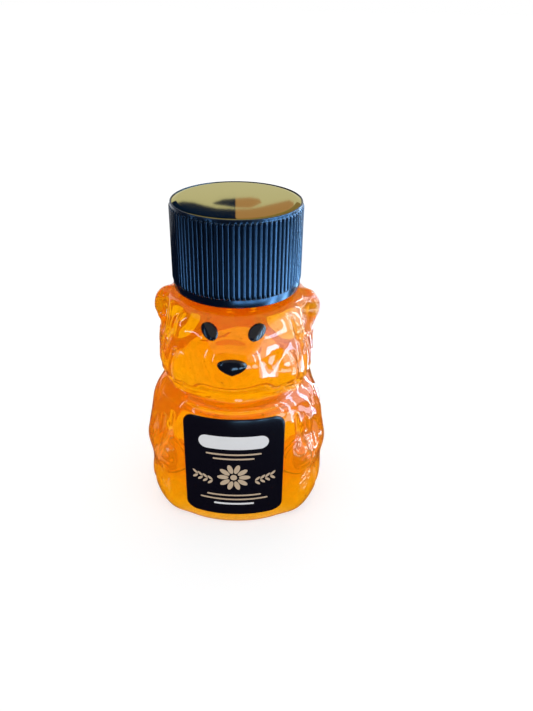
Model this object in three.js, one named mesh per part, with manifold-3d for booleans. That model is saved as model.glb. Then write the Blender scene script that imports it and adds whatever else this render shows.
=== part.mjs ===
// A small squeezable honey bottle in the shape of a sitting bear, with a ribbed screw cap on its head.
// Millimetres, +Z up. The origin is at the middle of the base, on the surface that the bottle stands on,
// with the neck's axis on Z and the bear looking along -Y.

import * as THREE from "three";
import { mergeVertices } from "three/addons/utils/BufferGeometryUtils.js";
import Module from "manifold-3d";

const wasm = await Module();
wasm.setup();

// Driving sizes of the moulded bear.
const bodyHeight = 31.4;
const bodyHalfWidth = 18.4;
const bodyFrontDepth = 18.8;
const bodyBackDepth = 17;
const headHeight = 21.2;
const headHalfWidth = 16.9;
const headFrontDepth = 15.6;
const headBackDepth = 14.4;
const wall = 0.9;
const floorThickness = 1.1;
const heelRadius = 1.4;
const crownRadius = 1.4;
const creaseRadius = 1.2;
const panelRadius = 24;
const panelMargin = 2.2;
const panelInset = 1.3;
const panelEdgeRadius = 1.5;
const labelWindowRadius = 3;

// The threaded neck.
const neckHeight = 15.6;
const neckBoreRadius = 9.55;
const neckWall = 1.2;
const neckRootDepth = 1.8;
const threadPitch = 3.175;
const threadTurns = 1.5;
const threadDepth = 1.15;
const threadRootWidth = 1.7;
const threadCrestWidth = 0.8;
const threadTopDistance = 2.6;

// The screw cap, its liner and its top disc.
const capGap = 0.5;
const threadClearance = 0.25;
const threadPlay = 0.15;
const capWall = 0.9;
const capTopThickness = 1.5;
const capEdgeChamfer = 0.25;
const capRimHeight = 0.6;
const capRimStep = 0.25;
const capBandHeight = 1.7;
const capBandStep = 0.2;
const ribDepth = 0.5;
const ribCount = 80;
const ribCrestShare = 0.36;
const linerThickness = 1;
const linerClearance = 0.15;
const seatGap = 0.1;
const discThickness = 0.4;
const discClearance = 0.05;
const discCrown = 0.12;
const discRecessDepth = 0.5;
const discRimWidth = 0.32;

// The label, the face paint and the honey.
const labelWidth = 21;
const labelTopMargin = 2.5;
const labelCornerRadius = 2.4;
const labelBase = 3.4;
const labelThickness = 0.2;
const filmGap = 0.18;
const eyeHalfWidth = 1.6;
const eyeHalfHeight = 1.9;
const eyeDome = 0.45;
const noseHalfWidth = 2.8;
const noseRise = 1.25;
const noseDrop = 2.1;
const noseDome = 0.5;
const paintThickness = 0.18;
const honeyGap = 0.3;
const honeyHeadspace = 14;

// Heights and radii that follow from the driving sizes.
const headTop = bodyHeight + headHeight;
const labelHeight = bodyHeight - labelTopMargin - labelBase;
const neckTop = headTop + neckHeight;
const neckFoot = headTop - neckRootDepth;
const neckRadius = neckBoreRadius + neckWall;
const threadRadius = neckRadius + threadDepth;
const capBottom = headTop + capGap;
const capBoreRadius = threadRadius + threadClearance;
const capCoreRadius = capBoreRadius + capWall;
const capRadius = capCoreRadius + ribDepth;
const linerBottom = neckTop + seatGap;
const capRoof = linerBottom + linerThickness + seatGap;
const capTop = capRoof + capTopThickness;
const capRimRadius = capRadius - capRimStep;
const discSeatRadius = capRimRadius - discRimWidth;
const overrun = 1;
const nudge = 0.05;

// Places and sizes of the moulded features, as shares of the body's or the head's half width, half
// depth and height. Each is for the side where X is positive, and is mirrored to the other.
const shoulderPlaceShares = [0.72, -0.2, 0.78];
const elbowPlaceShares = [0.825, -0.22, 0.53];
const pawPlaceShares = [0.82, -0.58, 0.51];
const shoulderRadiusShare = 0.28;
const elbowRadiusShare = 0.29;
const pawRadiusShare = 0.17;
const thighPlaceShares = [0.67, -0.2, 0.22];
const thighRadiusShares = [0.41, 0.52, 0.24];
const footPlaceShares = [0.62, -0.58, 0.19];
const footRadiusShares = [0.22, 0.22, 0.15];
const limbBlendShare = 0.22;
const earPlaceShares = [0.848, -0.02, 0.768];
const earRadiusShares = [0.213, 0.205, 0.2];
const earCupPlaceShares = [0.97, -0.333, 0.768];
const earCupRadiusShares = [0.2, 0.218, 0.17];
const cheekPlaceShares = [0.5, -0.48, 0.36];
const cheekRadiusShares = [0.42, 0.48, 0.3];
const muzzlePlaceShares = [0, -0.78, 0.5];
const muzzleRadiusShares = [0.5, 0.52, 0.31];
const headBlendShare = 0.2;
const earBlendShare = 0.06;
const eyePlaceShares = [0.275, 0.83];
const foreheadLeanShare = 0.68;
const noseHeightShare = 0.6;
const nosePointPower = 1.9;
const eyeLean = Math.PI / 6;

// How square each rounded mass is: 2 is an ellipse, and more is boxier.
const bodyPlanPower = 2.35;
const bodySidePower = 4.6;
const headPlanPower = 2.15;
const headSidePower = 3.8;
const muzzlePlanPower = 2.2;
const muzzleSidePower = 2.8;
const bodyMiddleShare = 0.46;
const bodyRiseShare = 0.64;
const headMiddleShare = 0.47;
const headRiseShare = 0.57;

// How far out from their middles the thin front pieces have a ring of points.
const paintShares = [0.3, 0.65, 0.88];
const labelShares = [0.3, 0.6, 0.85];

// How finely the surfaces are cut. The five counts of heights are for the heel, the body, the crease
// under the chin, the head and the crown.
const outerFinenesses = [3, 11, 5, 12, 3];
const innerFinenesses = [2, 9, 4, 8, 3];
const outerSteps = 56;
const innerSteps = 36;
const turnSteps = 24;
const neckSteps = 40;
const capSteps = 48;
const paintSteps = 16;
const labelCornerSteps = 3;
const labelSideSteps = 6;
const searchStep = 0.6;
const searchRadius = 1.6 * Math.max(bodyHalfWidth, bodyFrontDepth);
const bisections = 18;

// Signed distances, negative inside, that blend softly into each other.

function smoothMin(a, b, k) {
  const h = Math.max(k - Math.abs(a - b), 0) / k;
  return Math.min(a, b) - (h * h * k) / 4;
}

function smoothMax(a, b, k) {
  return -smoothMin(-a, -b, k);
}

// A rounded mass that is a superellipse in plan and in side view.
function massDistance(p, centre, radii, planPower, sidePower) {
  const tiny = 1e-9;
  const [x, y, z] = p.map((v, i) => Math.max(Math.abs(v - centre[i]) / radii[i], tiny));
  const plan = x ** planPower + y ** planPower;
  const k = (plan ** (sidePower / planPower) + z ** sidePower) ** (1 / sidePower);
  const planSlope = plan ** (sidePower / planPower - 1);
  const slope = Math.hypot(
    (planSlope * x ** (planPower - 1)) / radii[0],
    (planSlope * y ** (planPower - 1)) / radii[1],
    z ** (sidePower - 1) / radii[2],
  );
  return (k - 1) / (k ** (1 - sidePower) * slope);
}

// A tapered limb between two places.
function limbDistance(p, from, to, fromRadius, toRadius) {
  const along = to.map((v, i) => v - from[i]);
  const offset = p.map((v, i) => v - from[i]);
  const length2 = along.reduce((sum, v) => sum + v * v, 0);
  const dot = along.reduce((sum, v, i) => sum + v * offset[i], 0);
  const t = Math.min(Math.max(dot / length2, 0), 1);
  return Math.hypot(...offset.map((v, i) => v - t * along[i])) - (fromRadius + t * (toRadius - fromRadius));
}

const bodyScale = [bodyHalfWidth, bodyFrontDepth, bodyHeight];
const headScale = [headHalfWidth, headFrontDepth, headHeight];
const onBody = (shares) => shares.map((s, i) => s * bodyScale[i]);
const onHead = (shares) => shares.map((s, i) => s * headScale[i] + (i === 2 ? bodyHeight : 0));
const sizedByHead = (shares) => shares.map((s, i) => s * headScale[i]);

const shoulder = onBody(shoulderPlaceShares);
const elbow = onBody(elbowPlaceShares);
const paw = onBody(pawPlaceShares);
const thigh = onBody(thighPlaceShares);
const thighRadii = onBody(thighRadiusShares);
const foot = onBody(footPlaceShares);
const footRadii = onBody(footRadiusShares);
const ear = onHead(earPlaceShares);
const earRadii = sizedByHead(earRadiusShares);
const earCup = onHead(earCupPlaceShares);
const earCupRadii = sizedByHead(earCupRadiusShares);
const cheek = onHead(cheekPlaceShares);
const cheekRadii = sizedByHead(cheekRadiusShares);
const muzzle = onHead(muzzlePlaceShares);
const muzzleRadii = sizedByHead(muzzleRadiusShares);

// The sitting body: a trunk with a curved panel at front and back, arms with paws on the belly, thighs
// and feet. The limbs leave the window free where the label fits.
function bodyDistance(p) {
  const trunkCentre = [0, 0, bodyMiddleShare * bodyHeight];
  const trunkDepth = p[1] < 0 ? bodyFrontDepth : bodyBackDepth;
  const trunkRadii = [bodyHalfWidth, trunkDepth, bodyRiseShare * bodyHeight];
  const blend = limbBlendShare * bodyHalfWidth;
  const mass = massDistance(p, trunkCentre, trunkRadii, bodyPlanPower, bodySidePower);
  const panel = Math.hypot(p[0], Math.abs(p[1]) + panelRadius - trunkDepth + panelInset) - panelRadius;
  const trunk = smoothMax(mass, panel, panelEdgeRadius);
  const upperArm = limbDistance(
    p, shoulder, elbow, shoulderRadiusShare * bodyHalfWidth, elbowRadiusShare * bodyHalfWidth,
  );
  const foreArm = limbDistance(
    p, elbow, paw, elbowRadiusShare * bodyHalfWidth, pawRadiusShare * bodyHalfWidth,
  );
  const arm = Math.min(upperArm, foreArm);
  const leg = massDistance(p, thigh, thighRadii, 2, 2);
  const sole = massDistance(p, foot, footRadii, 2, 2);
  const limbs = smoothMin(arm, smoothMin(leg, sole, blend), blend);
  return smoothMin(trunk, smoothMax(limbs, windowDepth(p), labelWindowRadius), blend);
}

// How deep a place is inside the window where the label fits.
function windowDepth([x, , z]) {
  const beside = labelWidth / 2 + panelMargin - x;
  const above = labelBase + labelHeight + panelMargin - z;
  return Math.min(beside, above);
}

// The head: skull, cheeks, muzzle and cupped ears.
function headDistance(p) {
  const skullCentre = [0, 0, bodyHeight + headMiddleShare * headHeight];
  const skullDepth = p[1] < 0 ? headFrontDepth : headBackDepth;
  const skullRadii = [headHalfWidth, skullDepth, headRiseShare * headHeight];
  const blend = headBlendShare * headHalfWidth;
  const skull = massDistance(p, skullCentre, skullRadii, headPlanPower, headSidePower);
  const jowl = massDistance(p, cheek, cheekRadii, 2, 2);
  const snout = massDistance(p, muzzle, muzzleRadii, muzzlePlanPower, muzzleSidePower);
  const lobe = massDistance(p, ear, earRadii, 2, 2);
  const cup = massDistance(p, earCup, earCupRadii, 2, 2);
  const face = smoothMin(smoothMin(skull, jowl, blend), snout, blend);
  const earBlend = earBlendShare * headHalfWidth;
  return smoothMax(smoothMin(face, lobe, earBlend), -cup, earBlend);
}

// The whole moulding up to the neck, cut level at the base and at the crown.
function bearDistance(x, y, z) {
  const p = [Math.abs(x), y, z];
  const bear = smoothMin(bodyDistance(p), headDistance(p), creaseRadius);
  return smoothMax(smoothMax(bear, -z, heelRadius), z - headTop, crownRadius);
}

// The distance from a start, along a ray that runs inwards, to where the bear's surface lies at a level.
function reach(start, ray, level, longest) {
  const at = (t) => bearDistance(...start.map((v, i) => v + t * ray[i])) - level;
  let near = 0;
  let far = 0;
  while (far < longest && at(far) > 0) {
    near = far;
    far += searchStep;
  }
  for (let i = 0; i < bisections; i++) {
    const middle = (near + far) / 2;
    if (at(middle) > 0) near = middle;
    else far = middle;
  }
  return (near + far) / 2;
}

// The radius of the surface at a height and an angle, for a level below zero inside the wall.
function radiusAt(angle, z, level) {
  const out = [Math.cos(angle), Math.sin(angle)];
  const start = [out[0] * searchRadius, out[1] * searchRadius, z];
  return searchRadius - reach(start, [-out[0], -out[1], 0], level, searchRadius);
}

// Solids.

function solidFrom(geometry) {
  const bare = geometry.index ? geometry.toNonIndexed() : geometry.clone();
  bare.deleteAttribute("normal");
  bare.deleteAttribute("uv");
  const merged = mergeVertices(bare, 1e-4);
  return new wasm.Manifold(
    new wasm.Mesh({
      numProp: 3,
      vertProperties: merged.attributes.position.array,
      triVerts: new Uint32Array(merged.index.array),
    }),
  );
}

function geometryFrom(solid) {
  const mesh = solid.getMesh();
  const geometry = new THREE.BufferGeometry();
  geometry.setAttribute("position", new THREE.BufferAttribute(new Float32Array(mesh.vertProperties), 3));
  geometry.setIndex(new THREE.BufferAttribute(new Uint32Array(mesh.triVerts), 1));
  geometry.computeVertexNormals();
  return geometry;
}

// A closed surface through rings of points, each ring as long as the first, closed at each end by a
// tip, which is the middle of the end ring unless it is given.
function ringedGeometry(rings, tips = []) {
  const count = rings[0].length;
  const points = rings.flat();
  const faces = [];
  for (let i = 0; i + 1 < rings.length; i++) {
    for (let j = 0; j < count; j++) {
      const a = i * count + j;
      const b = i * count + ((j + 1) % count);
      faces.push(a, b, b + count, a, b + count, a + count);
    }
  }
  for (const [end, ring] of [0, rings.length - 1].entries()) {
    const tip = points.length;
    points.push(tips[end] ?? rings[ring].reduce((sum, p) => sum.map((v, i) => v + p[i] / count), [0, 0, 0]));
    for (let j = 0; j < count; j++) {
      const a = ring * count + j;
      const b = ring * count + ((j + 1) % count);
      faces.push(...(end === 0 ? [b, a, tip] : [a, b, tip]));
    }
  }
  const geometry = new THREE.BufferGeometry();
  geometry.setAttribute("position", new THREE.BufferAttribute(new Float32Array(points.flat()), 3));
  geometry.setIndex(faces);
  return geometry;
}

// A solid turned about Z, from radius and height pairs that run from the axis back to the axis, or
// round a closed section.
function turned(profile, steps) {
  const outline = profile.map(([r, z]) => new THREE.Vector2(r, z));
  const geometry = new THREE.LatheGeometry(outline, steps);
  geometry.rotateX(Math.PI / 2);
  return solidFrom(geometry);
}

// A plain round bar between two heights.
function rod(radius, foot, top, steps) {
  return turned([[0, foot], [radius, foot], [radius, top], [0, top]], steps);
}

// Heights spread between two ends, the first end included.
function spread(from, to, count) {
  return Array.from({ length: count }, (_, i) => from + ((to - from) * i) / count);
}

// Heights that follow the bear: close together at the heel, the crease under the chin and the crown.
function heights(lowest, highest, finenesses) {
  const ends = [
    lowest,
    2 * heelRadius,
    bodyHeight - 3 * creaseRadius,
    bodyHeight + 3 * creaseRadius,
    headTop - 3 * crownRadius,
    highest,
  ];
  return [...finenesses.flatMap((count, i) => spread(ends[i], ends[i + 1], count)), highest];
}

// The part of the bear that lies deeper than a level, between two heights.
function bearSolid(level, lowest, highest, finenesses, steps) {
  const rings = heights(lowest, highest, finenesses).map((z) => {
    const inside = Math.min(Math.max(z, lowest), highest);
    return Array.from({ length: steps }, (_, i) => {
      const angle = (2 * Math.PI * i) / steps - Math.PI / 2;
      const r = radiusAt(angle, inside, level);
      return [r * Math.cos(angle), r * Math.sin(angle), z];
    });
  });
  return solidFrom(ringedGeometry(rings));
}

// A helical ridge whose section is a trapezium from the root radius to the crest radius, with ends
// that run out into the wall that carries it.
function helicalRidge(rootRadius, crestRadius, carrierWall, middleHeight) {
  const outwards = Math.sign(crestRadius - rootRadius);
  const sunk = rootRadius - (outwards * carrierWall) / 2;
  const count = Math.round(threadTurns * turnSteps);
  const runOut = turnSteps / 6;
  const rings = [];
  for (let i = 0; i <= count; i++) {
    const angle = (2 * Math.PI * i) / turnSteps;
    const z = middleHeight + threadPitch * (i / turnSteps - threadTurns / 2);
    const fullness = Math.min(1, (Math.min(i, count - i) + 1) / runOut);
    const crest = sunk + (crestRadius - sunk) * fullness;
    const section = [
      [sunk, -threadRootWidth / 2],
      [crest, -threadCrestWidth / 2],
      [crest, threadCrestWidth / 2],
      [sunk, threadRootWidth / 2],
    ];
    if (outwards > 0) section.reverse();
    rings.push(section.map(([r, dz]) => [r * Math.cos(angle), r * Math.sin(angle), z + dz]));
  }
  return solidFrom(ringedGeometry(rings));
}

// The pieces.

const threadMiddle = neckTop - threadTopDistance - (threadTurns * threadPitch) / 2;

function bottleShell() {
  const outer = bearSolid(0, 0, headTop, outerFinenesses, outerSteps);
  const cavity = bearSolid(-wall, floorThickness, headTop - wall, innerFinenesses, innerSteps);
  const neck = rod(neckRadius, neckFoot, neckTop, neckSteps);
  const bore = rod(neckBoreRadius, neckFoot, neckTop + overrun, neckSteps);
  const thread = helicalRidge(neckRadius, threadRadius, neckWall, threadMiddle);
  return geometryFrom(outer.add(neck).subtract(cavity).subtract(bore).add(thread));
}

function honeyFill() {
  const depth = wall + honeyGap;
  const bulk = bearSolid(-depth, floorThickness + honeyGap, headTop - depth, innerFinenesses, innerSteps);
  const level = neckTop - honeyHeadspace;
  return geometryFrom(bulk.add(rod(neckBoreRadius - honeyGap, neckFoot + honeyGap, level, neckSteps)));
}

// The outward direction of the bear's surface at a place.
function normalAt(place) {
  const slope = place.map((_, i) => {
    const distanceAt = (step) => bearDistance(...place.map((v, j) => (i === j ? v + step : v)));
    return distanceAt(nudge) - distanceAt(-nudge);
  });
  const length = Math.hypot(...slope);
  return slope.map((v) => v / length);
}

// A thin piece that lies on the front of the bear. The edge is a list of places across and up from its
// middle, and the piece is thicker by its dome towards the middle.
function frontPiece(middle, edge, thickness, dome, shares) {
  const ring = (share, lift) => edge.map(([across, up]) => {
    const [x, z] = [middle[0] + across * share, middle[1] + up * share];
    const place = [x, reach([x, -searchRadius, z], [0, 1, 0], 0, searchRadius) - searchRadius, z];
    const normal = normalAt(place);
    return place.map((v, i) => v + normal[i] * lift);
  });
  const domed = (share) => filmGap + thickness + dome * Math.sqrt(1 - share * share);
  const back = [...shares, 1].map((share) => ring(share, filmGap));
  const front = [1, ...shares.toReversed()].map((share) => ring(share, domed(share)));
  const tips = [ring(0, filmGap)[0], ring(0, domed(0))[0]];
  return geometryFrom(solidFrom(ringedGeometry([...back, ...front], tips)));
}

function anglesRound(steps) {
  return spread(0, 2 * Math.PI, steps);
}

function eye(side) {
  const middle = [side * eyePlaceShares[0] * headHalfWidth, bodyHeight + eyePlaceShares[1] * headHeight];
  const lean = side * eyeLean;
  const edge = anglesRound(paintSteps).map((angle) => {
    const [across, up] = [eyeHalfWidth * Math.cos(angle), eyeHalfHeight * Math.sin(angle)];
    const rise = up * Math.cos(lean) - across * Math.sin(lean);
    return [across * Math.cos(lean) + up * Math.sin(lean), foreheadLeanShare * rise];
  });
  return frontPiece(middle, edge, paintThickness, eyeDome, paintShares);
}

// The nose is arched at the top, has a corner at each side and runs down to a blunt point.
function nose() {
  const edge = anglesRound(paintSteps).map((angle) => {
    const [across, up] = [Math.cos(angle), Math.sin(angle)];
    if (up >= 0) return [noseHalfWidth * across, noseRise * up];
    return [noseHalfWidth * Math.sign(across) * Math.abs(across) ** nosePointPower, noseDrop * up];
  });
  const middle = [0, bodyHeight + noseHeightShare * headHeight];
  return frontPiece(middle, edge, paintThickness, noseDome, paintShares);
}

// The label is a rectangle with round corners.
function label() {
  const straightWidth = labelWidth / 2 - labelCornerRadius;
  const straightHeight = labelHeight / 2 - labelCornerRadius;
  const edge = [[1, 1], [-1, 1], [-1, -1], [1, -1]].flatMap(([sideways, upwards], corner) => {
    const arc = spread(corner * Math.PI / 2, (corner + 1) * Math.PI / 2, labelCornerSteps);
    const next = corner % 2 === 0 ? [-sideways, upwards] : [sideways, -upwards];
    const points = [...arc, (corner + 1) * Math.PI / 2].map((a) => [
      sideways * straightWidth + labelCornerRadius * Math.cos(a),
      upwards * straightHeight + labelCornerRadius * Math.sin(a),
    ]);
    const last = points[points.length - 1];
    const first = [
      next[0] * straightWidth + labelCornerRadius * Math.cos((corner + 1) * Math.PI / 2),
      next[1] * straightHeight + labelCornerRadius * Math.sin((corner + 1) * Math.PI / 2),
    ];
    const along = spread(0, 1, labelSideSteps).slice(1);
    return [...points, ...along.map((t) => last.map((v, i) => v + (first[i] - v) * t))];
  });
  return frontPiece([0, labelBase + labelHeight / 2], edge, labelThickness, 0, labelShares);
}

// The ribbed skirt of the cap, with a bare band at its foot and a plain rim round its top. Each rib has a
// flat crest and a chamfered end under the rim, and a groove lies between two ribs.
function capOutside() {
  const ribPitch = (2 * Math.PI) / ribCount;
  const outline = (inset) => Array.from({ length: ribCount }, (_, rib) => [
    [-ribCrestShare / 2, capRadius],
    [ribCrestShare / 2, capRadius],
    [1 / 2, capCoreRadius],
  ].map(([place, r]) => {
    const angle = (rib + place) * ribPitch;
    return [(r - inset) * Math.cos(angle), (r - inset) * Math.sin(angle)];
  })).flat();
  const level = (z, inset) => outline(inset).map(([x, y]) => [x, y, z]);
  const bandTop = capBottom + capBandHeight;
  const bandRadius = capRadius - capBandStep;
  const band = rod(bandRadius, capBottom, bandTop, capSteps);
  const ribTop = capTop - capRimHeight;
  const rimFoot = ribTop - capEdgeChamfer;
  const ribs = [level(bandTop, 0), level(rimFoot, 0), level(ribTop, capEdgeChamfer)];
  const rim = rod(capRimRadius, rimFoot, capTop, capSteps);
  return solidFrom(ringedGeometry(ribs)).add(band).add(rim);
}

function capShell() {
  const hollow = rod(capBoreRadius, capBottom - overrun, capRoof, capSteps);
  const recess = rod(discSeatRadius, capTop - discRecessDepth, capTop + overrun, capSteps);
  const threadPlace = threadMiddle - threadPitch / 2;
  const thread = helicalRidge(capBoreRadius, neckRadius + threadPlay, capWall, threadPlace);
  return geometryFrom(capOutside().subtract(hollow).subtract(recess).add(thread));
}

// The bright disc that is set into the top of the cap, slightly crowned.
function capTopDisc() {
  const radius = discSeatRadius - discClearance;
  const foot = capTop - discRecessDepth + discClearance;
  const edge = foot + discThickness;
  const crown = edge + discCrown;
  const profile = [[0, foot], [radius, foot], [radius, edge], [radius - discThickness, crown], [0, crown]];
  return geometryFrom(turned(profile, capSteps));
}

function capLiner() {
  const radius = capBoreRadius - linerClearance;
  return geometryFrom(rod(radius, linerBottom, linerBottom + linerThickness, capSteps));
}

// The assembly: each piece with the look of its material.

const clearPlastic = { color: 0xffd9a0, roughness: 0.05, metalness: 0, transparent: true, opacity: 0.45 };
const honeyLook = { color: 0xe8930c, roughness: 0.1, metalness: 0 };
const blackPaint = { color: 0x0b0b0d, roughness: 0.12, metalness: 0 };
const blackLabel = { color: 0x161417, roughness: 0.3, metalness: 0 };
const blackPlastic = { color: 0x18181c, roughness: 0.42, metalness: 0 };
const goldFoil = { color: 0xb0a565, roughness: 0.12, metalness: 1 };
const linerFoam = { color: 0xe9e7e0, roughness: 0.8, metalness: 0 };

const pieces = [
  ["bottle_shell", bottleShell(), clearPlastic],
  ["honey_fill", honeyFill(), honeyLook],
  ["eye_left", eye(1), blackPaint],
  ["eye_right", eye(-1), blackPaint],
  ["nose", nose(), blackPaint],
  ["label", label(), blackLabel],
  ["cap_shell", capShell(), blackPlastic],
  ["cap_top_disc", capTopDisc(), goldFoil],
  ["cap_liner", capLiner(), linerFoam],
];

const bottle = new THREE.Group();
for (const [name, geometry, look] of pieces) {
  const mesh = new THREE.Mesh(geometry, new THREE.MeshStandardMaterial(look));
  mesh.name = name;
  bottle.add(mesh);
}

export default bottle;
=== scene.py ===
"""Dresses a small honey bear bottle: clear moulded bear, amber honey, black face, label and screw cap.

The bear stands on the floor at z = 0, looks along -Y, and its neck is on the Z axis. Shapes are worked
out in millimetres from the same driving sizes as the solid model, and become metres when a mesh is made.
"""
import math

import bmesh
import bpy
import numpy as np
from mathutils import Matrix, Vector


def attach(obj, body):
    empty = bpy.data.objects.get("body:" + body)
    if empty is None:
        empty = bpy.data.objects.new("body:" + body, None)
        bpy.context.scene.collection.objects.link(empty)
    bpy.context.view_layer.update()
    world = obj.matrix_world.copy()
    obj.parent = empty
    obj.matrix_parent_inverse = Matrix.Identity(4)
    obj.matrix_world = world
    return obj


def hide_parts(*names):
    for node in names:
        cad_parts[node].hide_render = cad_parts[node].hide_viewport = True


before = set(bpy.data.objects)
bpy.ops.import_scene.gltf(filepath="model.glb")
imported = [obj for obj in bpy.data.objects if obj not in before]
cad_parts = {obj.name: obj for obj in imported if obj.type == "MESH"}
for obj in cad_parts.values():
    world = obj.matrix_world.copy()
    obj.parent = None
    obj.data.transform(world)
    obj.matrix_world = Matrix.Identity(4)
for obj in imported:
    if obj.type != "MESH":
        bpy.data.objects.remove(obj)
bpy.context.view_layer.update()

MM = 0.001
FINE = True
random = np.random.default_rng(7)

# Driving sizes of the moulded bear, in millimetres.
BODY_HEIGHT = 31.4
BODY_HALF_WIDTH = 18.4
BODY_FRONT_DEPTH = 18.8
BODY_BACK_DEPTH = 17.0
HEAD_HEIGHT = 21.2
HEAD_HALF_WIDTH = 16.9
HEAD_FRONT_DEPTH = 15.6
HEAD_BACK_DEPTH = 14.4
WALL = 0.9
FLOOR_THICKNESS = 1.1
HEEL_RADIUS = 1.4
CROWN_RADIUS = 1.4
CREASE_RADIUS = 1.2
PANEL_RADIUS = 24.0
PANEL_MARGIN = 2.2
PANEL_INSET = 1.3
PANEL_EDGE_RADIUS = 1.5
LABEL_WINDOW_RADIUS = 3.0

# The threaded neck and the screw cap.
NECK_HEIGHT = 15.6
NECK_BORE_RADIUS = 9.55
NECK_WALL = 1.2
THREAD_PITCH = 3.175
THREAD_TURNS = 1.5
THREAD_DEPTH = 1.15
THREAD_ROOT_WIDTH = 1.7
THREAD_CREST_WIDTH = 0.8
THREAD_TOP_DISTANCE = 2.6
THREAD_END_RISE = 6
THREAD_CLEARANCE = 0.25
THREAD_PLAY = 0.15
CAP_GAP = 0.5
CAP_WALL = 0.9
CAP_TOP_THICKNESS = 1.5
CAP_RIM_HEIGHT = 0.6
CAP_RIM_STEP = 0.25
CAP_BAND_HEIGHT = 1.7
CAP_BAND_STEP = 0.2
RIB_DEPTH = 0.5
RIB_COUNT = 80
LINER_THICKNESS = 1.0
SEAT_GAP = 0.1
DISC_RECESS_DEPTH = 0.5
DISC_RIM_WIDTH = 0.32

# The label, the face and the honey.
LABEL_WIDTH = 21.0
LABEL_TOP_MARGIN = 2.5
LABEL_CORNER_RADIUS = 2.4
LABEL_BASE = 3.4
LABEL_THICKNESS = 0.14
FILM_GAP = 0.03
EYE_HALF_WIDTH = 1.6
EYE_HALF_HEIGHT = 1.9
EYE_DOME = 0.5
EYE_LEAN = math.pi / 6
EYE_SHARES = (0.275, 0.83)
FOREHEAD_LEAN_SHARE = 0.68
NOSE_HALF_WIDTH = 2.8
NOSE_RISE = 1.25
NOSE_DROP = 2.1
NOSE_POINT_POWER = 1.9
NOSE_HEIGHT_SHARE = 0.6
NOSE_DOME = 0.55
PAINT_THICKNESS = 0.12
HONEY_HEADSPACE = 14.0

# Heights and radii that follow from the driving sizes.
HEAD_TOP = BODY_HEIGHT + HEAD_HEIGHT
LABEL_HEIGHT = BODY_HEIGHT - LABEL_TOP_MARGIN - LABEL_BASE
NECK_TOP = HEAD_TOP + NECK_HEIGHT
NECK_RADIUS = NECK_BORE_RADIUS + NECK_WALL
THREAD_RADIUS = NECK_RADIUS + THREAD_DEPTH
THREAD_MIDDLE = NECK_TOP - THREAD_TOP_DISTANCE - THREAD_TURNS * THREAD_PITCH / 2
CAP_BOTTOM = HEAD_TOP + CAP_GAP
CAP_BORE_RADIUS = THREAD_RADIUS + THREAD_CLEARANCE
CAP_CORE_RADIUS = CAP_BORE_RADIUS + CAP_WALL
CAP_RADIUS = CAP_CORE_RADIUS + RIB_DEPTH
LINER_BOTTOM = NECK_TOP + SEAT_GAP
CAP_ROOF = LINER_BOTTOM + LINER_THICKNESS + SEAT_GAP
CAP_TOP = CAP_ROOF + CAP_TOP_THICKNESS
CAP_RIM_RADIUS = CAP_RADIUS - CAP_RIM_STEP
DISC_SEAT_RADIUS = CAP_RIM_RADIUS - DISC_RIM_WIDTH
LABEL_MIDDLE = (0, LABEL_BASE + LABEL_HEIGHT / 2)

# How the bear's surface is looked for along a ray, from well outside it.
SEARCH_RADIUS = 30.0
SEARCH_STEPS = 70
SEARCH_STEP_SHARE = 0.85
SEARCH_TOLERANCE = 0.002
FEELER_LENGTH = 0.05

# Places and sizes of the moulded features, as shares of the body's or the head's half width, front
# depth and height. Each is for the side where X is positive, and is mirrored to the other.
SHOULDER_SHARES = (0.72, -0.2, 0.78)
ELBOW_SHARES = (0.825, -0.22, 0.53)
PAW_SHARES = (0.82, -0.58, 0.51)
LIMB_RADIUS_SHARES = (0.28, 0.29, 0.17)
THIGH_SHARES = ((0.67, -0.2, 0.22), (0.41, 0.52, 0.24))
FOOT_SHARES = ((0.62, -0.58, 0.19), (0.22, 0.22, 0.15))
EAR_SHARES = ((0.848, -0.02, 0.768), (0.213, 0.205, 0.2))
EAR_CUP_SHARES = ((0.97, -0.333, 0.768), (0.2, 0.218, 0.17))
CHEEK_SHARES = ((0.5, -0.48, 0.36), (0.42, 0.48, 0.3))
MUZZLE_SHARES = ((0.0, -0.78, 0.5), (0.5, 0.52, 0.31))
LIMB_BLEND_SHARE = 0.22
HEAD_BLEND_SHARE = 0.2
EAR_BLEND_SHARE = 0.06
BODY_POWERS = (2.35, 4.6)
HEAD_POWERS = (2.15, 3.8)
MUZZLE_POWERS = (2.2, 2.8)
ROUND_POWERS = (2.0, 2.0)
BODY_MIDDLE_SHARE = 0.46
BODY_RISE_SHARE = 0.64
HEAD_MIDDLE_SHARE = 0.47
HEAD_RISE_SHARE = 0.57

BODY_SCALE = np.array([BODY_HALF_WIDTH, BODY_FRONT_DEPTH, BODY_HEIGHT])
HEAD_SCALE = np.array([HEAD_HALF_WIDTH, HEAD_FRONT_DEPTH, HEAD_HEIGHT])
HEAD_BASE = np.array([0.0, 0.0, BODY_HEIGHT])


# Signed distances in millimetres, negative inside, for arrays of points.

def smooth_min(a, b, k):
    h = np.maximum(k - np.abs(a - b), 0) / k
    return np.minimum(a, b) - h * h * k / 4


def smooth_max(a, b, k):
    return -smooth_min(-a, -b, k)


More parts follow.
